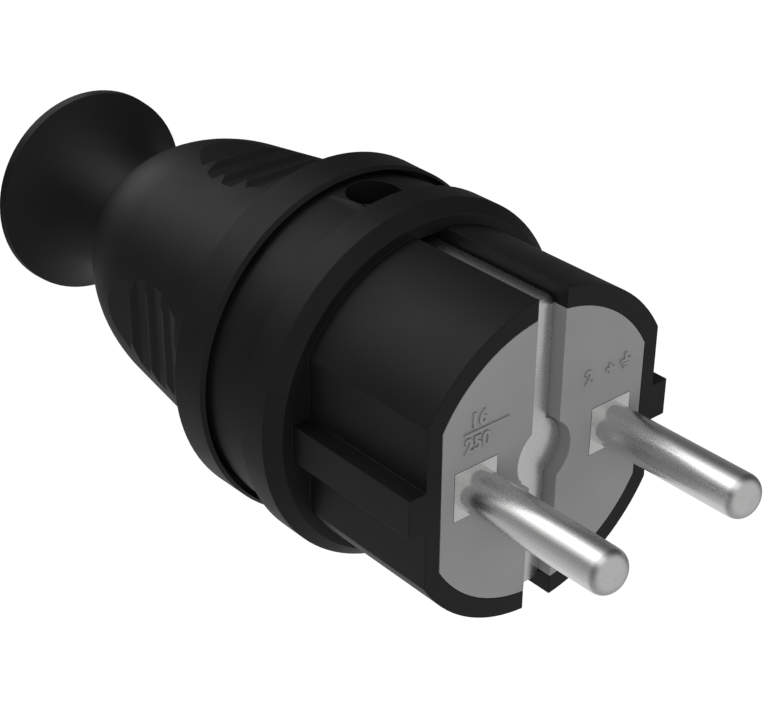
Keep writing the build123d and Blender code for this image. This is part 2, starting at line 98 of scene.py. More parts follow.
# %% Helpers for node trees
def add(tree, kind, inputs=None, **settings):
    """Adds a node. An input is a value, or the socket that feeds it."""
    node = tree.nodes.new(kind)
    for name, value in settings.items():
        setattr(node, name, value)
    for name, value in (inputs or {}).items():
        if isinstance(value, bpy.types.NodeSocket):
            tree.links.new(value, node.inputs[name])
        else:
            node.inputs[name].default_value = value
    return node


def math_node(tree, operation, first, second=0.0, third=0.0, kind="ShaderNodeMath"):
    """The result of one sum on values or sockets."""
    return add(tree, kind, {0: first, 1: second, 2: third}, operation=operation).outputs[0]


def new_group(name, kind, inputs, outputs):
    """A node group with named sockets, and its two end nodes."""
    tree = bpy.data.node_groups.new(name, kind)
    for label, socket_type, value in inputs:
        socket = tree.interface.new_socket(label, in_out="INPUT", socket_type=socket_type)
        if value is not None:
            socket.default_value = value
    for label, socket_type in outputs:
        tree.interface.new_socket(label, in_out="OUTPUT", socket_type=socket_type)
    return tree, tree.nodes.new("NodeGroupInput"), tree.nodes.new("NodeGroupOutput")


FLOAT = "NodeSocketFloat"
VECTOR = "NodeSocketVector"
GEOMETRY = "NodeSocketGeometry"
MATERIAL = "NodeSocketMaterial"
print("helpers ready")

# %% [markdown]
# ## Grain, shared by every moulded surface
#
# Rubber and plastic copy the skin of the mould: a fine spark-eroded grain of about a tenth of a
# millimetre, over broader patches where the surface is a little duller. One group makes both from
# three-dimensional noise on Object coordinates, so the grain runs round corners without a seam.

# %% Build the mould grain group
grain_group, grain_in, grain_out = new_group(
    "mould grain",
    "ShaderNodeTree",
    [("Grain Scale", FLOAT, 5000.0), ("Patch Scale", FLOAT, 120.0)],
    [("Height", FLOAT), ("Patches", FLOAT)],
)
place = add(grain_group, "ShaderNodeTexCoord").outputs["Object"]
fine = add(
    grain_group,
    "ShaderNodeTexNoise",
    {"Vector": place, "Scale": grain_in.outputs["Grain Scale"], "Detail": 3.0, "Roughness": 0.6},
)
broad = add(
    grain_group,
    "ShaderNodeTexNoise",
    {"Vector": place, "Scale": grain_in.outputs["Patch Scale"], "Detail": 4.0, "Roughness": 0.55},
)
grain_group.links.new(fine.outputs["Fac"], grain_out.inputs["Height"])
grain_group.links.new(broad.outputs["Fac"], grain_out.inputs["Patches"])
print("group", grain_group.name)

# %% [markdown]
# ## Tool marks, shared by every metal
#
# Turned and drawn metal keeps faint lines along the way it was worked, and plating lies over them with
# a speckle of its own. A noise that is squeezed along one axis makes the lines, and a fine one makes
# the speckle. The Mapping node's scale says which way the lines run.

# %% Build the tool mark group
marks_group, marks_in, marks_out = new_group(
    "tool marks",
    "ShaderNodeTree",
    [("Squeeze", VECTOR, (1.0, 1.0, 0.04)), ("Speckle Scale", FLOAT, 9000.0)],
    [("Height", FLOAT), ("Lines", FLOAT), ("Speckle", FLOAT)],
)
place = add(marks_group, "ShaderNodeTexCoord").outputs["Object"]
squeezed = add(
    marks_group, "ShaderNodeMapping", {"Vector": place, "Scale": marks_in.outputs["Squeeze"]}
)
lines = add(
    marks_group, "ShaderNodeTexNoise", {"Vector": squeezed.outputs[0], "Scale": 3200.0, "Detail": 3.0}
)
speckle = add(
    marks_group,
    "ShaderNodeTexNoise",
    {"Vector": place, "Scale": marks_in.outputs["Speckle Scale"], "Detail": 2.0},
)
height = math_node(marks_group, "MULTIPLY_ADD", lines.outputs["Fac"], 0.35, speckle.outputs["Fac"])
marks_group.links.new(height, marks_out.inputs["Height"])
marks_group.links.new(lines.outputs["Fac"], marks_out.inputs["Lines"])
marks_group.links.new(speckle.outputs["Fac"], marks_out.inputs["Speckle"])
print("group", marks_group.name)

# %% [markdown]
# ## Moulded finishes
#
# Rubber, the grey insert and the dark inner plastic differ only in colour, gloss and depth of grain, so
# one function makes all three. The patches move the colour and the roughness a little, and the fine
# grain goes to a Bump node. Rubber reflects weakly, so its specular level is well below a plastic's.


# %% Make the moulded finishes
def ramp(tree, value, low, high):
    """Moves a noise value, which stays near the middle, to a range of its own."""
    return add(
        tree,
        "ShaderNodeMapRange",
        {"Value": value, "From Min": 0.3, "From Max": 0.7, "To Min": low, "To Max": high},
    ).outputs[0]


def moulded(name, dark, light, roughness, specular, grain_depth, grain_scale=5000.0):
    """A matt moulded material with mottled colour and a fine grain."""
    material = bpy.data.materials.new(name)
    material.use_nodes = True
    tree = material.node_tree
    skin = tree.nodes["Principled BSDF"]
    grain = add(tree, "ShaderNodeGroup", node_tree=grain_group)
    grain.inputs["Grain Scale"].default_value = grain_scale
    colour = add(tree, "ShaderNodeMix", data_type="RGBA")
    colour.inputs["A"].default_value = (*dark, 1.0)
    colour.inputs["B"].default_value = (*light, 1.0)
    tree.links.new(ramp(tree, grain.outputs["Patches"], 0.0, 1.0), colour.inputs["Factor"])
    tree.links.new(colour.outputs["Result"], skin.inputs["Base Color"])
    duller = ramp(tree, grain.outputs["Patches"], roughness[0], roughness[1])
    tree.links.new(duller, skin.inputs["Roughness"])
    bump = add(tree, "ShaderNodeBump", {"Height": grain.outputs["Height"], "Distance": grain_depth})
    bump.inputs["Strength"].default_value = 1.0
    tree.links.new(bump.outputs["Normal"], skin.inputs["Normal"])
    skin.inputs["Specular IOR Level"].default_value = specular
    return material


black_rubber = moulded(
    "black_rubber", (0.0035, 0.0035, 0.0037), (0.0055, 0.0055, 0.0057), (0.44, 0.54), 0.2, 0.006 * MM
)
grey_insert = moulded(
    "grey_insert", (0.185, 0.185, 0.188), (0.205, 0.205, 0.207), (0.5, 0.6), 0.3, 0.003 * MM
)
inner_moulding = moulded(
    "inner_moulding", (0.035, 0.036, 0.038), (0.045, 0.046, 0.048), (0.4, 0.5), 0.4, 0.004 * MM
)
print("moulded finishes:", black_rubber.name, grey_insert.name, inner_moulding.name)

# %% [markdown]
# ## Metal finishes
#
# The pins and the strap are brass under satin nickel, the terminals are bare brass, and the screws and
# nuts are steel under bright zinc. All are metallic, with a colour of their own, and the tool marks
# break up the gloss, so that a highlight on a pin looks grainy rather than polished.


# %% Make the metal finishes
def metal(name, dark, light, roughness, depth, squeeze=(1.0, 1.0, 0.04), speckle_scale=9000.0):
    """A plated or bare metal with faint tool marks."""
    material = bpy.data.materials.new(name)
    material.use_nodes = True
    tree = material.node_tree
    skin = tree.nodes["Principled BSDF"]
    marks = add(tree, "ShaderNodeGroup", node_tree=marks_group)
    marks.inputs["Squeeze"].default_value = squeeze
    marks.inputs["Speckle Scale"].default_value = speckle_scale
    colour = add(tree, "ShaderNodeMix", data_type="RGBA")
    colour.inputs["A"].default_value = (*dark, 1.0)
    colour.inputs["B"].default_value = (*light, 1.0)
    tree.links.new(ramp(tree, marks.outputs["Lines"], 0.0, 1.0), colour.inputs["Factor"])
    tree.links.new(colour.outputs["Result"], skin.inputs["Base Color"])
    duller = ramp(tree, marks.outputs["Speckle"], roughness[0], roughness[1])
    tree.links.new(duller, skin.inputs["Roughness"])
    bump = add(tree, "ShaderNodeBump", {"Height": marks.outputs["Height"], "Distance": depth})
    bump.inputs["Strength"].default_value = 1.0
    tree.links.new(bump.outputs["Normal"], skin.inputs["Normal"])
    skin.inputs["Metallic"].default_value = 1.0
    return material


satin_nickel = metal("satin_nickel", (0.76, 0.76, 0.755), (0.82, 0.815, 0.81), (0.24, 0.32), 0.003 * MM)
bare_brass = metal("bare_brass", (0.66, 0.47, 0.20), (0.74, 0.55, 0.26), (0.22, 0.34), 0.003 * MM)
bright_zinc = metal("bright_zinc", (0.58, 0.60, 0.63), (0.66, 0.68, 0.70), (0.2, 0.32), 0.003 * MM)
finishes = {
    "black_rubber": black_rubber,
    "grey_insert": grey_insert,
    "inner_moulding": inner_moulding,
    "plated_contact": satin_nickel,
    "bare_brass": bare_brass,
    "zinc_steel": bright_zinc,
}
slot_of = {part["node"]: part["material_slot"] for part in frame["record"]["subparts"]}
for name, node in nodes.items():
    node.data.materials.clear()
    node.data.materials.append(finishes[slot_of[name]])
print("finishes:", ", ".join(finishes))


# %% [markdown]
# ## Softened edges
#
# A mould is cut with small radii, because a perfectly sharp edge tears and looks unreal: it never
# catches the light. The CAD nodes can't be changed, so each moulded piece is copied, its loose
# triangles are merged, its flat faces are joined, and a Bevel modifier rounds only the sharp edges.
# Edges that bend only a little, such as those of the ribs on the grips, are marked sharp, so that the
# shading doesn't blur them.


# %% Round the edges of the moulded and cut pieces
def finish_piece(piece, replaced, slot):
    """Links a finished piece into the scene, gives it its finish, attaches it to the root body and hides the
    CAD nodes that it replaces.
    """
    bpy.context.scene.collection.objects.link(piece)
    piece.data.materials.clear()
    piece.data.materials.append(finishes[slot])
    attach(piece, "root")
    if replaced:
        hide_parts(*replaced)
    return piece


MERGE_DISTANCE = 0.0001 * MM
FLAT_ANGLE = math.radians(0.1)
CRISP_ANGLE = math.radians(9)
BEVEL_ANGLE = math.radians(28)


def softened(name, radius, segments=2):
    """A copy of a CAD piece with its sharp edges rounded and its low edges kept crisp."""
    mesh = nodes[name].data.copy()
    if "custom_normal" in mesh.attributes:
        mesh.attributes.remove(mesh.attributes["custom_normal"])
    work = bmesh.new()
    work.from_mesh(mesh)
    bmesh.ops.remove_doubles(work, verts=work.verts, dist=MERGE_DISTANCE)
    bmesh.ops.dissolve_degenerate(work, edges=work.edges, dist=MERGE_DISTANCE)
    bmesh.ops.dissolve_limit(
        work, angle_limit=FLAT_ANGLE, verts=work.verts, edges=work.edges, delimit=set()
    )
    for face in work.faces:
        face.smooth = True
    for edge in work.edges:
        edge.smooth = edge.calc_face_angle(0.0) < CRISP_ANGLE
    work.to_mesh(mesh)
    work.free()
    piece = bpy.data.objects.new("soft_" + name, mesh)
    bevel = piece.modifiers.new("softened edges", "BEVEL")
    bevel.width = radius
    bevel.segments = segments
    bevel.limit_method = "ANGLE"
    bevel.angle_limit = BEVEL_ANGLE
    bevel.use_clamp_overlap = False
    bevel.harden_normals = True
    return finish_piece(piece, [name], slot_of[name])


EDGE_RADII = {
    "front_moulding": 0.08 * MM,
    "rear_hood": 0.05 * MM,
    "contact_carrier": 0.04 * MM,
    "terminal_cover": 0.15 * MM,
    "cord_clamp_bar": 0.15 * MM,
    "earth_terminal": 0.15 * MM,
    "earth_rivet": 0.1 * MM,
}
for name, radius in EDGE_RADII.items():
    piece = softened(name, radius)
    print(piece.name, len(piece.data.polygons), "faces before its edges are rounded")

# %% [markdown]
# ## The earth strap
#
# The strap is a flat bar, sunk in its channel and bent into a long U, with a round boss at its middle.
# It is thinner than its channel, and its hook stops short of the channel's end, so that it stays clear
# of the insert.
# Its side view is drawn first: a route through the middle of the bar, moved half a thickness to either
# side, with an arc at every corner. Pulled out to the strap's width, the outline becomes a solid, and
# the edges on both its sides are rounded. A Boolean modifier then joins the boss on.

# %% Draw the strap's side view
STRAP_HALF_WIDTH = 1.85 * MM
STRAP_HALF_THICKNESS = 0.88 * MM
STRAP_SINK = 1.42 * MM
STRAP_REACH = 17.0 * MM
STRAP_TAIL_Y = 10.5 * MM
STRAP_DEPTHS = (21.5 * MM, 17.0 * MM, 20.0 * MM)
STRAP_HOOK = 4.0 * MM
STRAP_EDGE = 0.55 * MM
OUTER_BEND = 0.9 * MM
INNER_BEND = 0.3 * MM
BEND_STEPS = 8
STRAP_CREASE = math.radians(30)
BOSS_RADIUS = 3.74 * MM
BOSS_EDGE = 0.3 * MM
BOSS_STEPS = 96
ACROSS = Vector((1, 0, 0))


def beside(corners, shift):
    """The corners of a route in the YZ plane, moved sideways by an even distance."""
    moved = []
    for index, corner in enumerate(corners):
        before = corner - corners[index - 1] if index else corners[1] - corner
        after = corners[index + 1] - corner if index + 1 < len(corners) else before
        left = ACROSS.cross(before.normalized())
        bisector = (left + ACROSS.cross(after.normalized())).normalized()
        moved.append(corner + bisector * shift / bisector.dot(left))
    return moved


def with_arcs(corners, radius):
    """The same corners with every inner one turned into an arc."""
    points = [corners[0]]
    for before, corner, after in zip(corners, corners[1:], corners[2:]):
        back, ahead = (before - corner).normalized(), (after - corner).normalized()
        half_angle = back.angle(ahead) / 2
        centre = corner + (back + ahead).normalized() * radius / math.sin(half_angle)
        spoke = corner + back * radius / math.tan(half_angle) - centre
        axis = spoke.cross(corner - centre).normalized()
        for step in range(BEND_STEPS + 1):
            turn = Matrix.Rotation((math.pi - 2 * half_angle) * step / BEND_STEPS, 3, axis)
            points.append(centre + turn @ spoke)
    return points + [corners[-1]]


tail_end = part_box("earth_strap")[0].z
line_y = STRAP_REACH - STRAP_HALF_THICKNESS
line_z = face_height - STRAP_SINK - STRAP_HALF_THICKNESS
jog_foot, jog_head, hook_z = (face_height - depth for depth in STRAP_DEPTHS)
middle_line = [
    Vector((0, -STRAP_TAIL_Y, tail_end)),
    Vector((0, -STRAP_TAIL_Y, jog_foot)),
    Vector((0, -line_y, jog_head)),
    Vector((0, -line_y, line_z)),
    Vector((0, line_y, line_z)),
    Vector((0, line_y, hook_z)),
    Vector((0, line_y - STRAP_HOOK, hook_z)),
]
outer = with_arcs(beside(middle_line, STRAP_HALF_THICKNESS), OUTER_BEND)
inner = with_arcs(beside(middle_line, -STRAP_HALF_THICKNESS), INNER_BEND)
side_view = outer + inner[::-1]
print("strap's side view:", len(side_view), "points; highest", round(max(p.z for p in outer) / MM, 2), "mm")


# %% Pull it out, round its edges and join the boss on
def pulled_out(outline, way, edge, name):
    """An object made by pulling a flat outline along a way, with the edges of both ends rounded."""
    solid = bmesh.new()
    flat = solid.faces.new([solid.verts.new(point) for point in outline])
    pulled = bmesh.ops.extrude_face_region(solid, geom=[flat])["geom"]
    bmesh.ops.translate(solid, vec=way, verts=[v for v in pulled if isinstance(v, bmesh.types.BMVert)])
    bmesh.ops.recalc_face_normals(solid, faces=solid.faces)
    ends = [face for face in solid.faces if abs(face.normal.dot(way.normalized())) > 0.99]
    ends = [face for face in ends if len(face.verts) == len(outline)]
    edges = list({rim for face in ends for rim in face.edges})
    bmesh.ops.bevel(solid, geom=edges, offset=edge, segments=5, profile=0.5, affect="EDGES")
    mesh = bpy.data.meshes.new(name)
    solid.to_mesh(mesh)
    solid.free()
    piece = bpy.data.objects.new(name, mesh)
    bpy.context.scene.collection.objects.link(piece)
    return piece


shift = ACROSS * STRAP_HALF_WIDTH
bar = pulled_out([point - shift for point in side_view], 2 * shift, STRAP_EDGE, "bar")
turns = [math.tau * step / BOSS_STEPS for step in range(BOSS_STEPS)]
foot = line_z - STRAP_HALF_THICKNESS
rim = [Vector((BOSS_RADIUS * math.cos(turn), BOSS_RADIUS * math.sin(turn), foot)) for turn in turns]
boss = pulled_out(rim, Vector((0, 0, 2 * STRAP_HALF_THICKNESS)), BOSS_EDGE, "boss")
joiner = bar.modifiers.new("join the boss", "BOOLEAN")
joiner.operation = "UNION"
joiner.solver = "EXACT"
joiner.object = boss
graph = bpy.context.evaluated_depsgraph_get()
strap_mesh = bpy.data.meshes.new_from_object(bar.evaluated_get(graph))
for part in (bar, boss):
    bpy.data.objects.remove(part)
strap_mesh.shade_smooth()
strap_mesh.set_sharp_from_angle(angle=STRAP_CREASE)
finish_piece(bpy.data.objects.new("bent_earth_strap", strap_mesh), ["earth_strap"], "plated_contact")
print("strap:", len(strap_mesh.polygons), "faces")

# %% [markdown]
# ## Raised figures
#
# The insert carries its ratings as raised figures. Plain numbers, a plus and the sign for earth stand
# here, each placed by its left edge, its foot and its height on the face. The figures come from text
# curves with a small bevel, and the bars are beveled blocks. All go into one mesh.

# %% Raise the figures on the insert
FIGURE_RELIEF = 0.24 * MM
FIGURE_SINK = 0.05 * MM
FIGURE_EDGE = 0.04 * MM
FIGURE_SWELL = 0.03 * MM
STROKE = 0.34 * MM
CROSSING_DROP = 0.01 * MM
insert_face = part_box("contact_carrier")[1].z

figures = bmesh.new()


def raise_text(body, left, foot, height):
    """Adds a text's solid figures, scaled to a height and set at a left edge and a foot."""
    curve = bpy.data.curves.new("figures", "FONT")
    curve.body = body
    curve.size = 1.4 * height
    curve.extrude = (FIGURE_RELIEF + FIGURE_SINK) / 2 - FIGURE_EDGE
    curve.bevel_depth = FIGURE_EDGE
    curve.offset = FIGURE_SWELL
    text = bpy.data.objects.new("figures", curve)
    bpy.context.scene.collection.objects.link(text)
    bpy.context.view_layer.update()
    mesh = bpy.data.meshes.new_from_object(text)
    lows = [min(vertex.co[axis] for vertex in mesh.vertices) for axis in range(3)]
    tall = max(vertex.co.y for vertex in mesh.vertices) - lows[1]
    stretch = Matrix.Diagonal((height / tall, height / tall, 1.0, 1.0))
    corner = Vector((left, foot, insert_face - FIGURE_SINK))
    mesh.transform(Matrix.Translation(corner) @ stretch @ Matrix.Translation(-Vector(lows)))
    figures.from_mesh(mesh)
    bpy.data.objects.remove(text)


def raise_bar(left, right, foot, top, drop=0.0):
    """Adds one beveled bar. One that crosses another drops a little, so that their tops don't clash."""
    height = insert_face + (FIGURE_RELIEF - FIGURE_SINK) / 2 - drop
    middle = Vector(((left + right) / 2, (foot + top) / 2, height))
    size = Matrix.Diagonal((right - left, top - foot, FIGURE_RELIEF + FIGURE_SINK, 1.0))
    corners = bmesh.ops.create_cube(figures, size=1.0, matrix=Matrix.Translation(middle) @ size)["verts"]
    edges = list({edge for corner in corners for edge in corner.link_edges})
    bmesh.ops.bevel(figures, geom=edges, offset=FIGURE_EDGE, segments=2, affect="EDGES", profile=0.5)


raise_text("16", -10.25 * MM, 7.27 * MM, 1.78 * MM)
raise_text("250", -11.28 * MM, 4.64 * MM, 1.73 * MM)
raise_text("2", 5.17 * MM, 6.14 * MM, 1.68 * MM)
raise_bar(-11.36 * MM, -5.39 * MM, 6.61 * MM, 6.61 * MM + STROKE)
PLUS = Vector((8.81, 6.94)) * MM
raise_bar(PLUS.x - 0.6 * MM, PLUS.x + 0.6 * MM, PLUS.y - STROKE / 2, PLUS.y + STROKE / 2)
raise_bar(PLUS.x - STROKE / 2, PLUS.x + STROKE / 2, PLUS.y - 0.6 * MM, PLUS.y + 0.6 * MM, CROSSING_DROP)
EARTH_X = 11.11 * MM
raise_bar(EARTH_X - STROKE / 2, EARTH_X + STROKE / 2, 7.0 * MM, 8.0 * MM, CROSSING_DROP)
for row, half_width in enumerate((0.75, 0.5, 0.25)):
    foot = (6.93 - 0.41 * row) * MM
    raise_bar(EARTH_X - half_width * MM, EARTH_X + half_width * MM, foot, foot + STROKE)
figure_mesh = bpy.data.meshes.new("raised_figures")
figures.to_mesh(figure_mesh)
figures.free()
finish_piece(bpy.data.objects.new("raised_figures", figure_mesh), [], "grey_insert")
print("raised figures:", len(figure_mesh.polygons), "faces, no letters")

# %% [markdown]
# ## Screws from a Geometry Nodes tree
#
# The CAD screws are plain shanks. A grid is wrapped round an axis here: one side of it counts the way
# round, and the other climbs the shank. The radius follows a triangle wave of the climb less the way
# round, which winds the crests into a helix. The first and last rows shrink to a point, so the shank is
# closed. A head is joined on, and a block cuts its slot. One screw then goes on every vertex of the
# mesh that carries the tree, turned so that its head points the way that Towards says.

# %% Build the screw tree
WAY_ROUND = 32
ROWS_PER_TURN = 6

screw_tree, screw_in, screw_out = new_group(
    "slotted screw",
    "GeometryNodeTree",
    [
        ("Geometry", GEOMETRY, None),
        ("Towards", VECTOR, (0.0, 0.0, 1.0)),
        ("Shank Radius", FLOAT, 1.5 * MM),
        ("Shank Length", FLOAT, 8.0 * MM),
        ("Pitch", FLOAT, 0.5 * MM),
        ("Thread Depth", FLOAT, 0.28 * MM),
        ("Head Radius", FLOAT, 2.5 * MM),
        ("Head Height", FLOAT, 2.0 * MM),
        ("Slot Width", FLOAT, 0.7 * MM),
        ("Slot Depth", FLOAT, 0.8 * MM),
        ("Finish", MATERIAL, None),
    ],
    [("Geometry", GEOMETRY)],
)
size = screw_in.outputs
turns = math_node(screw_tree, "DIVIDE", size["Shank Length"], size["Pitch"])
rows = math_node(screw_tree, "MULTIPLY_ADD", turns, ROWS_PER_TURN, 3.0)
grid = add(
    screw_tree,
    "GeometryNodeMeshGrid",
    {"Size X": 1.0, "Size Y": 1.0, "Vertices X": WAY_ROUND + 1, "Vertices Y": rows},
)
where = add(screw_tree, "GeometryNodeInputPosition")
parts = add(screw_tree, "ShaderNodeSeparateXYZ", {0: where.outputs[0]})
way_round = math_node(screw_tree, "ADD", parts.outputs["X"], 0.5)
row_share = math_node(screw_tree, "ADD", parts.outputs["Y"], 0.5)
margin = math_node(screw_tree, "DIVIDE", 1.0, math_node(screw_tree, "SUBTRACT", rows, 1.0))
climb = add(
    screw_tree,
    "ShaderNodeMapRange",
    {
        "Value": row_share,
        "From Min": margin,
        "From Max": math_node(screw_tree, "SUBTRACT", 1.0, margin),
        "To Min": 0.0,
        "To Max": 1.0,
    },
).outputs[0]
winding = math_node(screw_tree, "SUBTRACT", math_node(screw_tree, "MULTIPLY", climb, turns), way_round)
wave = math_node(screw_tree, "MULTIPLY", math_node(screw_tree, "PINGPONG", winding, 0.5), 2.0)
crest = math_node(
    screw_tree,
    "SUBTRACT",
    size["Shank Radius"],
    math_node(screw_tree, "MULTIPLY", wave, size["Thread Depth"]),
)
half_row = math_node(screw_tree, "MULTIPLY", margin, 0.5)
past_foot = math_node(screw_tree, "GREATER_THAN", row_share, half_row)
before_top = math_node(
    screw_tree, "LESS_THAN", row_share, math_node(screw_tree, "SUBTRACT", 1.0, half_row)
)
open_row = math_node(screw_tree, "MULTIPLY", past_foot, before_top)
radius = math_node(screw_tree, "MULTIPLY", crest, open_row)
angle = math_node(screw_tree, "MULTIPLY", way_round, math.tau)
height = math_node(
    screw_tree,
    "MULTIPLY",
    math_node(screw_tree, "SUBTRACT", climb, 1.0),
    size["Shank Length"],
)
wrapped = add(
    screw_tree,
    "ShaderNodeCombineXYZ",
    {
        "X": math_node(screw_tree, "MULTIPLY", radius, math_node(screw_tree, "COSINE", angle)),
        "Y": math_node(screw_tree, "MULTIPLY", radius, math_node(screw_tree, "SINE", angle)),
        "Z": height,
    },
)
shank = add(
    screw_tree,
    "GeometryNodeSetPosition",
    {"Geometry": grid.outputs["Mesh"], "Position": wrapped.outputs[0]},
)
closed = add(
    screw_tree, "GeometryNodeMergeByDistance", {"Geometry": shank.outputs[0], "Distance": 0.001 * MM}
)
print("screw tree:", len(screw_tree.nodes), "nodes wind the shank")

# %% Give the screw its head and slot, and stand one on every point
head = add(
    screw_tree,
    "GeometryNodeMeshCylinder",
    {"Vertices": 48, "Radius": size["Head Radius"], "Depth": size["Head Height"]},
)


def lifted(tree, mesh, height):
    """The same mesh moved up the axis."""
    up = add(tree, "ShaderNodeCombineXYZ", {"Z": height}).outputs[0]
    return add(tree, "GeometryNodeTransform", {"Geometry": mesh, "Translation": up}).outputs[0]


def boolean(tree, operation, base, other):
    """A mesh boolean of two meshes."""
    node = add(tree, "GeometryNodeMeshBoolean", operation=operation, solver="EXACT")
    if operation == "DIFFERENCE":
        tree.links.new(base, node.inputs["Mesh 1"])
    else:
        tree.links.new(base, node.inputs["Mesh 2"])
    tree.links.new(other, node.inputs["Mesh 2"])
    return node.outputs["Mesh"]


half_head = math_node(screw_tree, "MULTIPLY", size["Head Height"], 0.5)
head_mesh = lifted(screw_tree, head.outputs["Mesh"], half_head)
overlap = math_node(screw_tree, "MULTIPLY", size["Head Height"], 0.1)
screw_solid = boolean(
    screw_tree, "UNION", lifted(screw_tree, closed.outputs[0], overlap), head_mesh
)
slot_size = add(
    screw_tree,
    "ShaderNodeCombineXYZ",
    {
        "X": math_node(screw_tree, "MULTIPLY", size["Head Radius"], 3.0),
        "Y": size["Slot Width"],
        "Z": math_node(screw_tree, "MULTIPLY", size["Slot Depth"], 2.0),
    },
)
cutter = add(screw_tree, "GeometryNodeMeshCube", {"Size": slot_size.outputs[0]})
slotted = boolean(
    screw_tree, "DIFFERENCE", screw_solid, lifted(screw_tree, cutter.outputs["Mesh"], size["Head Height"])
)


def stand_on_points(tree, group_in, group_out, solid):
    """Ends a tree: one solid on every point, turned, made real and given its material."""
    turned = add(
        tree, "FunctionNodeAlignRotationToVector", {"Vector": group_in.outputs["Towards"]}, axis="Z"
    )
    placed = add(
        tree,
        "GeometryNodeInstanceOnPoints",
        {"Points": group_in.outputs["Geometry"], "Instance": solid, "Rotation": turned.outputs[0]},
    )
    real = add(tree, "GeometryNodeRealizeInstances", {"Geometry": placed.outputs[0]})
    painted = add(
        tree,
        "GeometryNodeSetMaterial",
        {"Geometry": real.outputs[0], "Material": group_in.outputs["Finish"]},
    )
    tree.links.new(painted.outputs[0], group_out.inputs["Geometry"])


stand_on_points(screw_tree, screw_in, screw_out, slotted)
print("screw tree:", len(screw_tree.nodes), "nodes in all")

# %% [markdown]
# ## Nuts from a second tree
#
# A nut is a cylinder with six sides. A squashed ball, a little wider than the corners, trims them as the
# chamfer on a real nut does, and a plain cylinder takes out the bore.

# %% Build the nut tree
CHAMFER_WIDTH = 1.015
CHAMFER_DEPTH = 0.92

nut_tree, nut_in, nut_out = new_group(
    "hex nut",
    "GeometryNodeTree",
    [
        ("Geometry", GEOMETRY, None),
        ("Towards", VECTOR, (0.0, 0.0, 1.0)),
        ("Across Flats", FLOAT, 5.5 * MM),
        ("Thickness", FLOAT, 2.4 * MM),
        ("Bore Radius", FLOAT, 1.5 * MM),
        ("Finish", MATERIAL, None),
    ],
    [("Geometry", GEOMETRY)],
)
size = nut_in.outputs
corner_radius = math_node(nut_tree, "MULTIPLY", size["Across Flats"], 0.5 / math.cos(math.pi / 6))
hexagon = add(
    nut_tree,
    "GeometryNodeMeshCylinder",
    {"Vertices": 6, "Radius": corner_radius, "Depth": size["Thickness"]},
)
ball = add(nut_tree, "GeometryNodeMeshUVSphere", {"Segments": 64, "Rings": 48, "Radius": 1.0})
wide = math_node(nut_tree, "MULTIPLY", corner_radius, CHAMFER_WIDTH)
squash = add(
    nut_tree,
    "ShaderNodeCombineXYZ",
    {"X": wide, "Y": wide, "Z": math_node(nut_tree, "MULTIPLY", size["Thickness"], CHAMFER_DEPTH)},
)
trimmer = add(
    nut_tree, "GeometryNodeTransform", {"Geometry": ball.outputs["Mesh"], "Scale": squash.outputs[0]}
)
trimmed = boolean(nut_tree, "INTERSECT", hexagon.outputs["Mesh"], trimmer.outputs[0])
bore = add(
    nut_tree,
    "GeometryNodeMeshCylinder",
    {
        "Vertices": 48,
        "Radius": size["Bore Radius"],
        "Depth": math_node(nut_tree, "MULTIPLY", size["Thickness"], 1.5),
    },
)
bored = boolean(nut_tree, "DIFFERENCE", trimmed, bore.outputs["Mesh"])
half_nut = math_node(nut_tree, "MULTIPLY", size["Thickness"], 0.5)
stand_on_points(nut_tree, nut_in, nut_out, lifted(nut_tree, bored, half_nut))
print("nut tree:", len(nut_tree.nodes), "nodes")

# %% [markdown]
# ## Put the fasteners in their places
#
# Each kind of fastener is one mesh: a vertex per CAD node it stands for, grown into screws or nuts. The
# seat of a screw lies under its head and that of a nut under its lower face, and both come from the
# boxes of the CAD nodes. The grown mesh replaces the carrier mesh, so no modifier is left.

# %% Grow the screws and nuts
UP_Y = Vector((0.0, 1.0, 0.0))
BACKWARDS = Vector((0.0, 0.0, -1.0))


def seat(name, towards, back_from_top):
    """A point on the axis of a fastener, a given way back from the end that Towards points to."""
    low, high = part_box(name)
    middle = (low + high) / 2
    half_length = abs((high - low).dot(towards)) / 2
    return middle + towards * (half_length - back_from_top)


def grow(name, tree, stands_for, towards, back_from_top, values):
    """Grows one kind of fastener for all the nodes that it stands for."""
    mesh = bpy.data.meshes.new(name)
    mesh.from_pydata([seat(node, towards, back_from_top) for node in stands_for], [], [])
    piece = bpy.data.objects.new(name, mesh)
    bpy.context.scene.collection.objects.link(piece)
    grower = piece.modifiers.new("grow", "NODES")
    grower.node_group = tree
    values = {**values, "Towards": towards, "Finish": finishes["zinc_steel"]}
    for socket in tree.interface.items_tree:
        if socket.name in values:
            grower[socket.identifier] = values[socket.name]
    graph = bpy.context.evaluated_depsgraph_get()
    grown = bpy.data.meshes.new_from_object(piece.evaluated_get(graph))
    piece.modifiers.clear()
    piece.data = grown
    bpy.context.scene.collection.objects.unlink(piece)
    finish_piece(piece, stands_for, "zinc_steel")
    print(name, len(grown.polygons), "faces for", len(stands_for))


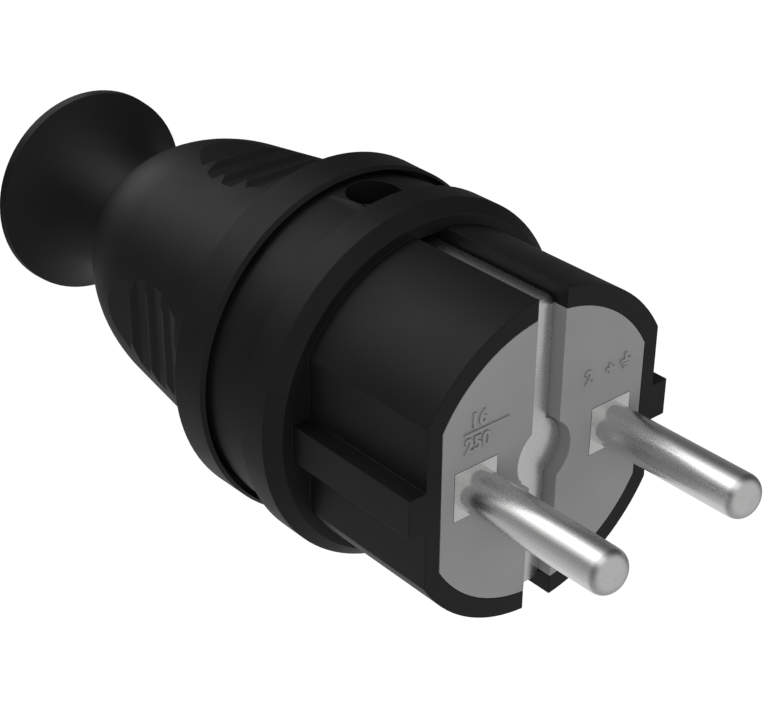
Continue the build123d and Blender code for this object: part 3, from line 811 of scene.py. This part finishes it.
SCREWS = {
    "terminal_screws": (
        ["terminal_screw_left", "terminal_screw_right", "earth_terminal_screw"], UP_Y, 3.0, 1.8, 0.5
    ),
    "cover_screws": (["cover_screw_left", "cover_screw_right"], BACKWARDS, 2.5, 1.6, 0.9),
    "clamp_screws": (["clamp_screw_left", "clamp_screw_right"], UP_Y, 3.0, 2.0, 0.5),
    "lock_screws": (["lock_screw"], UP_Y, 2.5, 1.8, 0.45),
}
for name, (stands_for, towards, diameter, head_height, pitch) in SCREWS.items():
    low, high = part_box(stands_for[0])
    values = {
        "Shank Radius": diameter / 2 * MM,
        "Shank Length": abs((high - low).dot(towards)) - head_height * MM,
        "Pitch": pitch * MM,
        "Thread Depth": 0.55 * pitch * MM,
        "Head Radius": (high.x - low.x) / 2,
        "Head Height": head_height * MM,
    }
    grow(name, screw_tree, stands_for, towards, head_height * MM, values)

NUTS = {"clamp_nuts": (["clamp_nut_left", "clamp_nut_right"], 3.0), "lock_nuts": (["lock_nut"], 2.5)}
for name, (stands_for, bore_diameter) in NUTS.items():
    low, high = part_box(stands_for[0])
    values = {
        "Across Flats": high.z - low.z,
        "Thickness": high.y - low.y,
        "Bore Radius": bore_diameter / 2 * MM,
    }
    grow(name, nut_tree, stands_for, UP_Y, high.y - low.y, values)

# %% [markdown]
# ## The studio
#
# The plug stands on a white floor in a white room. Rays from the camera see plain white, so the
# background stays clean, and a faint shadow is left where the plug stands. Rays that bounce off glossy
# surfaces see something else: soft pools of light and shade round the plug, as a photographer's cards
# would give, because black rubber and satin metal show only what they reflect. The pools are dimmed
# close to the plug's foot and again far out on the floor.

# %% Build the floor and its pools of light
FLOOR_RADIUS = 3.0
FLOOR_WHITE = 0.95
SHADOW_SHARE = 0.12
FOOT_FLOOR = (0.035, 0.12)
FOOT_SHARE = 0.64
FAR_FLOOR = (0.18, 0.36)
FAR_SHARE = 0.48

floor_mesh = bpy.data.meshes.new("floor")
work = bmesh.new()
bmesh.ops.create_circle(work, cap_ends=True, segments=96, radius=FLOOR_RADIUS)
work.to_mesh(floor_mesh)
work.free()
floor = bpy.data.objects.new("floor", floor_mesh)
bpy.context.scene.collection.objects.link(floor)

pools_group, pools_in, pools_out = new_group(
    "pools", "ShaderNodeTree", [("Direction", VECTOR, (1.0, 0.0, 0.0))], [("Level", FLOAT)]
)
round_plug = add(
    pools_group, "ShaderNodeTexGradient", {"Vector": pools_in.outputs["Direction"]}, gradient_type="RADIAL"
)
pools = add(pools_group, "ShaderNodeValToRGB", {"Fac": round_plug.outputs["Fac"]})
pools.color_ramp.interpolation = "EASE"
pools_group.links.new(pools.outputs["Color"], pools_out.inputs["Level"])


def turn_share(degrees):
    """Where a direction round the plug comes on the radial gradient, from 0 to 1."""
    return ((degrees + 180) % 360) / 360


POOLS = {
    -180: 0.35,
    -140: 0.55,
    -100: 0.75,
    -50: 0.75,
    0: 0.2,
    42: 0.12,
    60: 0.16,
    78: 0.55,
    102: 2.1,
    122: 2.1,
    140: 0.8,
    158: 0.26,
    179: 0.32,
}
stops = pools.color_ramp.elements
for index, (degrees, level) in enumerate(POOLS.items()):
    stop = stops[index] if index < len(stops) else stops.new(turn_share(degrees))
    stop.position = turn_share(degrees)
    stop.color = (level, level, level, 1.0)

floor_paint = bpy.data.materials.new("floor_paint")
floor_paint.use_nodes = True
tree = floor_paint.node_tree
tree.nodes.remove(tree.nodes["Principled BSDF"])
floor_place = add(tree, "ShaderNodeTexCoord").outputs["Object"]
floor_pools = add(tree, "ShaderNodeGroup", {"Direction": floor_place}, node_tree=pools_group)
reach = add(tree, "ShaderNodeVectorMath", {0: floor_place}, operation="LENGTH").outputs["Value"]


def fade(between, first, last):
    """A level that changes smoothly with the way out from the plug."""
    return add(
        tree,
        "ShaderNodeMapRange",
        {"Value": reach, "From Min": between[0], "From Max": between[1], "To Min": first, "To Max": last},
        interpolation_type="SMOOTHSTEP",
    ).outputs[0]


both_fades = math_node(tree, "MULTIPLY", fade(FOOT_FLOOR, FOOT_SHARE, 1.0), fade(FAR_FLOOR, 1.0, FAR_SHARE))
glow_level = math_node(tree, "MULTIPLY", floor_pools.outputs["Level"], both_fades)
rays = add(tree, "ShaderNodeLightPath")
lit = add(tree, "ShaderNodeBsdfDiffuse", {"Color": (0.8, 0.8, 0.8, 1.0)})
white = add(tree, "ShaderNodeEmission", {"Strength": FLOOR_WHITE})
glow = add(tree, "ShaderNodeEmission", {"Strength": glow_level})
seen = add(tree, "ShaderNodeAddShader")
faint = add(tree, "ShaderNodeMixShader", {"Fac": SHADOW_SHARE, 2: lit.outputs[0]})
tree.links.new(white.outputs[0], seen.inputs[0])
tree.links.new(faint.outputs[0], seen.inputs[1])
by_camera = add(
    tree, "ShaderNodeMixShader", {"Fac": rays.outputs["Is Camera Ray"], 1: lit.outputs[0], 2: seen.outputs[0]}
)
by_gloss = add(
    tree,
    "ShaderNodeMixShader",
    {"Fac": rays.outputs["Is Glossy Ray"], 1: by_camera.outputs[0], 2: glow.outputs[0]},
)
tree.links.new(by_gloss.outputs[0], tree.nodes["Material Output"].inputs["Surface"])
floor_mesh.materials.append(floor_paint)
print("floor", FLOOR_RADIUS, "m,", len(POOLS), "pools of light and shade")

# %% [markdown]
# The world does the same: white for the camera and an even level for diffuse light. Reflections see
# the dimmed pools at the horizon, which change to an even, milder level overhead. One large soft lamp
# from above the face gives the shapes their direction.

# %% Light the room
ROOM_LEVEL = 0.62
GLOSS_LEVEL = 0.52
OVERHEAD_FROM = 0.6
KEY_PLACE = Vector((-0.35, 0.15, 0.75))
KEY_SIZE = 0.5
KEY_POWER = 4.0

world = bpy.data.worlds.new("room")
bpy.context.scene.world = world
world.use_nodes = True
tree = world.node_tree
background = tree.nodes["Background"]
rays = add(tree, "ShaderNodeLightPath")
direction = add(tree, "ShaderNodeTexCoord").outputs["Generated"]
wall_pools = add(tree, "ShaderNodeGroup", {"Direction": direction}, node_tree=pools_group)
lift = add(tree, "ShaderNodeSeparateXYZ", {0: direction}).outputs["Z"]
overhead = add(
    tree,
    "ShaderNodeMapRange",
    {"Value": lift, "From Min": 0.0, "From Max": OVERHEAD_FROM, "To Min": 0.0, "To Max": 1.0},
    interpolation_type="SMOOTHSTEP",
)
horizon = math_node(tree, "MULTIPLY", wall_pools.outputs["Level"], FAR_SHARE)
gloss = add(tree, "ShaderNodeMix", {"Factor": overhead.outputs[0], "A": horizon, "B": GLOSS_LEVEL})
for_gloss = add(
    tree,
    "ShaderNodeMix",
    {"Factor": rays.outputs["Is Glossy Ray"], "A": ROOM_LEVEL, "B": gloss.outputs[0]},
)
for_camera = add(
    tree, "ShaderNodeMix", {"Factor": rays.outputs["Is Camera Ray"], "A": for_gloss.outputs[0], "B": 1.0}
)
background.inputs["Color"].default_value = (1.0, 1.0, 1.0, 1.0)
tree.links.new(for_camera.outputs[0], background.inputs["Strength"])


def soft_lamp(name, place, size, power):
    """A large square lamp that faces the middle of the plug."""
    data = bpy.data.lights.new(name, "AREA")
    data.size = size
    data.energy = power
    lamp = bpy.data.objects.new(name, data)
    middle = Vector((0, 0, face_height / 2))
    lamp.location = place
    lamp.rotation_euler = (place - middle).to_track_quat("Z", "Y").to_euler()
    lamp.visible_camera = False
    lamp.visible_glossy = False
    bpy.context.scene.collection.objects.link(lamp)
    return lamp


soft_lamp("key", KEY_PLACE, KEY_SIZE, KEY_POWER)
bpy.context.scene.view_settings.view_transform = "Standard"
print("room level", ROOM_LEVEL, "and", GLOSS_LEVEL, "for reflections")
